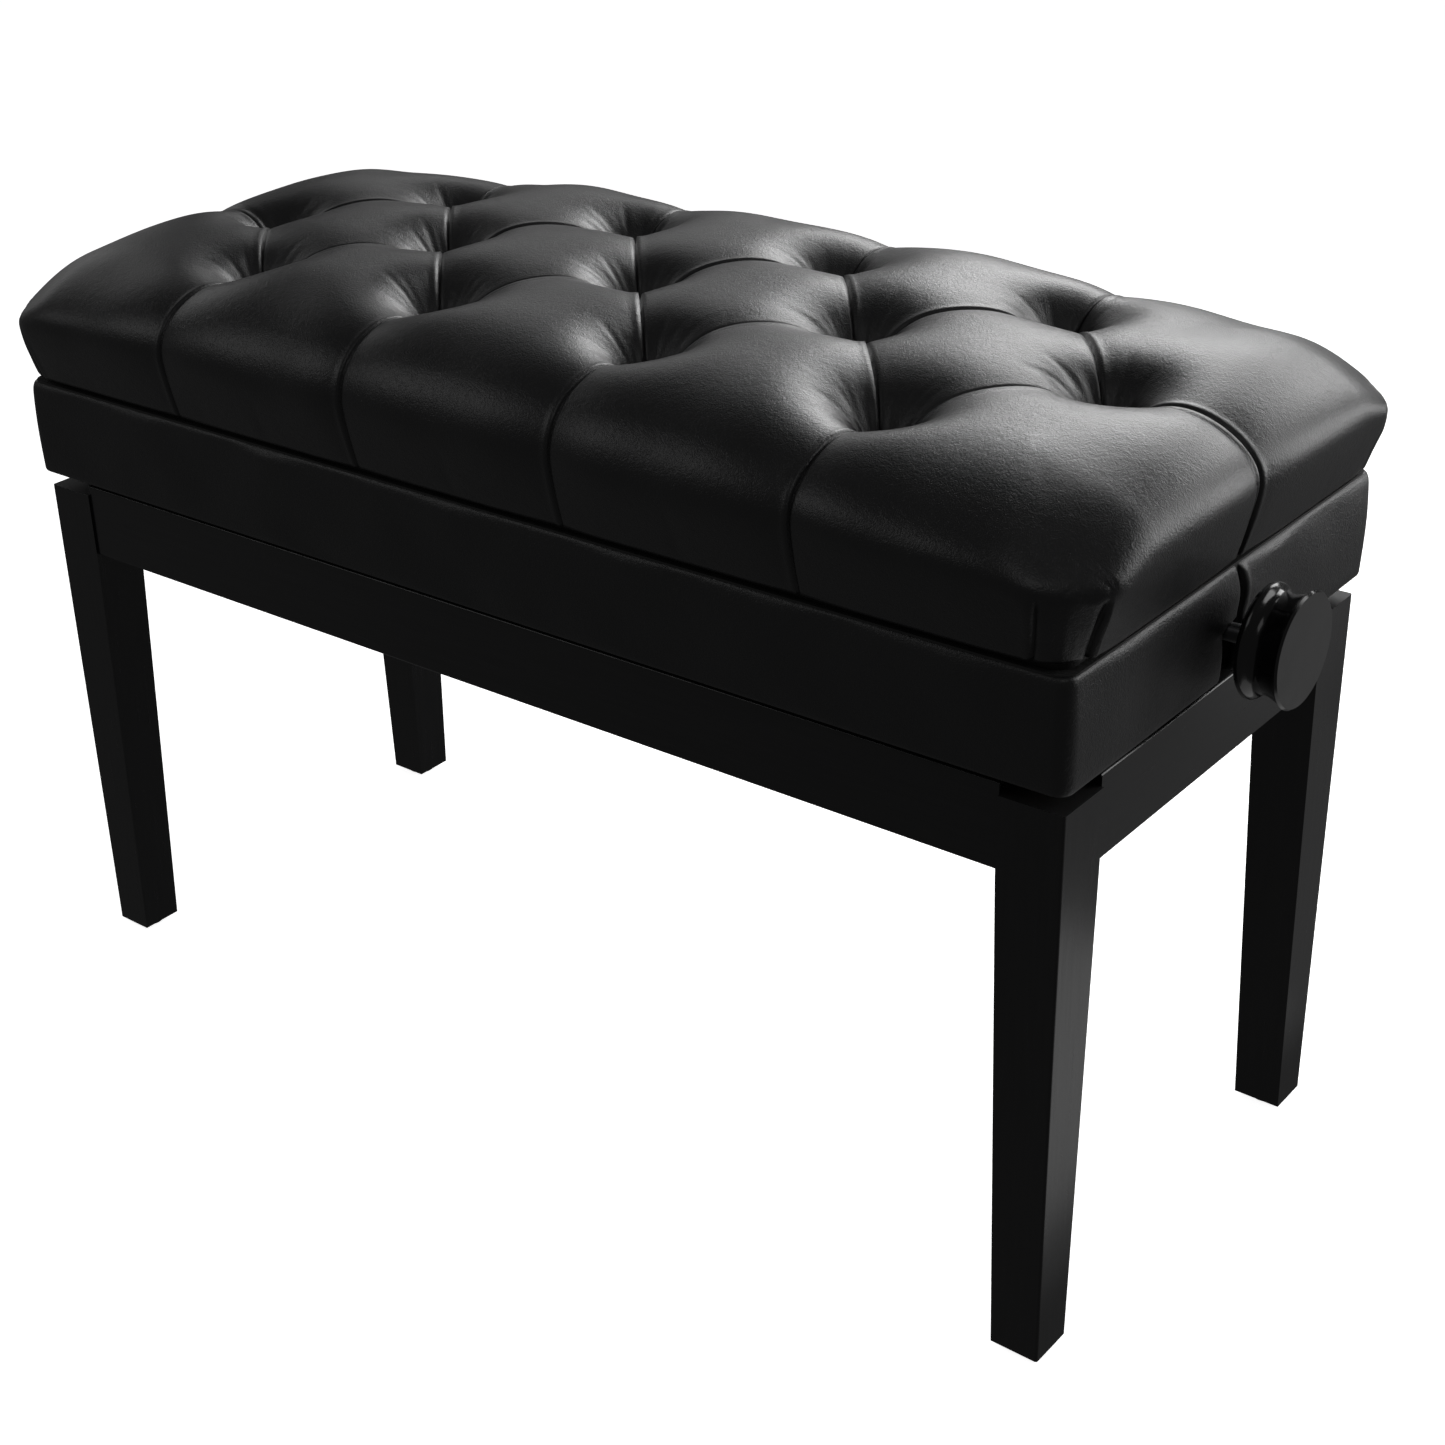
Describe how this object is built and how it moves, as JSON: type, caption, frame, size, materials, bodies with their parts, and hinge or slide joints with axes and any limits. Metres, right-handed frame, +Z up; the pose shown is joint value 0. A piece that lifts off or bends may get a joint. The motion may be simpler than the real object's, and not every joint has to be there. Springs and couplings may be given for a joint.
{
  "type": "piano bench",
  "caption": "Adjustable piano bench with tapered legs, leather seat box, deep diamond-tufted cushion and a screw-driven scissor lift turned by a knob at each end.",
  "frame": {"origin": "on the floor, under the middle of the bench", "axes": "+X along the bench to the right-hand knob, +Y to the back, +Z up"},
  "size_m": [0.829, 0.338, 0.498],
  "materials": {
    "black_lacquer": "black satin lacquer",
    "board": "plywood",
    "black_board": "matte black stain",
    "cushion_leather": "satin, fine grain",
    "skirt_leather": "satin, fine grain",
    "black_steel": "black satin paint",
    "zinc_steel": "zinc plated",
    "bronze": "plain",
    "knob_plastic": "high gloss",
    "glide_plastic": "matt"
  },
  "bodies": {
    "base": {"leg_back_right": "black_lacquer", "leg_back_left": "black_lacquer", "leg_front_right": "black_lacquer", "leg_front_left": "black_lacquer", "corner_block_back_right": "black_lacquer", "corner_block_back_left": "black_lacquer", "corner_block_front_right": "black_lacquer", "corner_block_front_left": "black_lacquer", "leg_bolts": "zinc_steel", "leg_nuts": "zinc_steel", "foot_glides": "glide_plastic", "apron_back": "black_lacquer", "apron_front": "black_lacquer", "apron_left": "black_lacquer", "apron_right": "black_lacquer", "lower_rail_back": "black_steel", "lower_rail_front": "black_steel", "base_screws": "zinc_steel", "screw_bracket_left": "black_steel", "screw_bracket_right": "black_steel", "screw_bush_left": "bronze", "screw_bush_right": "bronze"},
    "seat": {"cushion": "cushion_leather", "cushion_board": "black_board", "cushion_bolts": "zinc_steel", "seat_panel": "board", "skirt_wrap": "skirt_leather", "skirt_board_back": "black_board", "skirt_board_front": "black_board", "skirt_board_left": "black_board", "skirt_board_right": "black_board", "upper_rail_back": "black_steel", "upper_rail_front": "black_steel", "seat_screws": "zinc_steel"},
    "drive_screw_assembly": {"drive_screw": "zinc_steel", "screw_collars": "zinc_steel", "knob_left": "knob_plastic", "knob_right": "knob_plastic"},
    "crossbar_right_assembly": {"crossbar_right": "black_steel", "drive_nut_right": "bronze"},
    "fixed_arms_right": {"fixed_arm_right_back": "black_steel", "fixed_arm_right_front": "black_steel", "pivot_rod_right": "zinc_steel", "slide_rod_right": "zinc_steel", "arm_rivets_right": "zinc_steel"},
    "nut_arms_right": {"nut_arm_right_back": "black_steel", "nut_arm_right_front": "black_steel", "seat_rod_right": "zinc_steel"},
    "crossbar_left_assembly": {"crossbar_left": "black_steel", "drive_nut_left": "bronze"},
    "fixed_arms_left": {"fixed_arm_left_back": "black_steel", "fixed_arm_left_front": "black_steel", "pivot_rod_left": "zinc_steel", "slide_rod_left": "zinc_steel", "arm_rivets_left": "zinc_steel"},
    "nut_arms_left": {"nut_arm_left_back": "black_steel", "nut_arm_left_front": "black_steel", "seat_rod_left": "zinc_steel"}
  },
  "joints": [
    {"name": "seat_lift", "type": "slide", "parent": "base", "child": "seat", "axis": [0, 0, 1], "range_m": [0, 0.09]},
    {"name": "screw_turn", "type": "hinge", "parent": "base", "child": "drive_screw_assembly", "pos_m": [0, 0, 0.369], "axis": [1, 0, 0], "range_deg": [0, 3241]},
    {"name": "crossbar_slide_right", "type": "slide", "parent": "base", "child": "crossbar_right_assembly", "axis": [1, 0, 0], "range_m": [0, 0.02679]},
    {"name": "fixed_arms_swing_right", "type": "hinge", "parent": "base", "child": "fixed_arms_right", "pos_m": [0.285, 0, 0.3585], "axis": [0, 1, 0], "range_deg": [0, 21.67]},
    {"name": "nut_arms_swing_right", "type": "hinge", "parent": "crossbar_right_assembly", "child": "nut_arms_right", "pos_m": [0.03625, 0, 0.3585], "axis": [0, -1, 0], "range_deg": [0, 21.67]},
    {"name": "crossbar_slide_left", "type": "slide", "parent": "base", "child": "crossbar_left_assembly", "axis": [-1, 0, 0], "range_m": [0, 0.02679]},
    {"name": "fixed_arms_swing_left", "type": "hinge", "parent": "base", "child": "fixed_arms_left", "pos_m": [-0.285, 0, 0.3585], "axis": [0, -1, 0], "range_deg": [0, 21.67]},
    {"name": "nut_arms_swing_left", "type": "hinge", "parent": "crossbar_left_assembly", "child": "nut_arms_left", "pos_m": [-0.03625, 0, 0.3585], "axis": [0, 1, 0], "range_deg": [0, 21.67]}
  ],
  "couplings": [
    {"joint": "screw_turn", "follows": "seat_lift", "rad_per_m": 628.32},
    {"joint": "crossbar_slide_right", "follows": "seat_lift", "ratio": 0.29741},
    {"joint": "fixed_arms_swing_right", "follows": "seat_lift", "rad_per_m": 4.1981},
    {"joint": "nut_arms_swing_right", "follows": "seat_lift", "rad_per_m": 4.1981},
    {"joint": "crossbar_slide_left", "follows": "seat_lift", "ratio": 0.29741},
    {"joint": "fixed_arms_swing_left", "follows": "seat_lift", "rad_per_m": 4.1981},
    {"joint": "nut_arms_swing_left", "follows": "seat_lift", "rad_per_m": 4.1981}
  ]
}
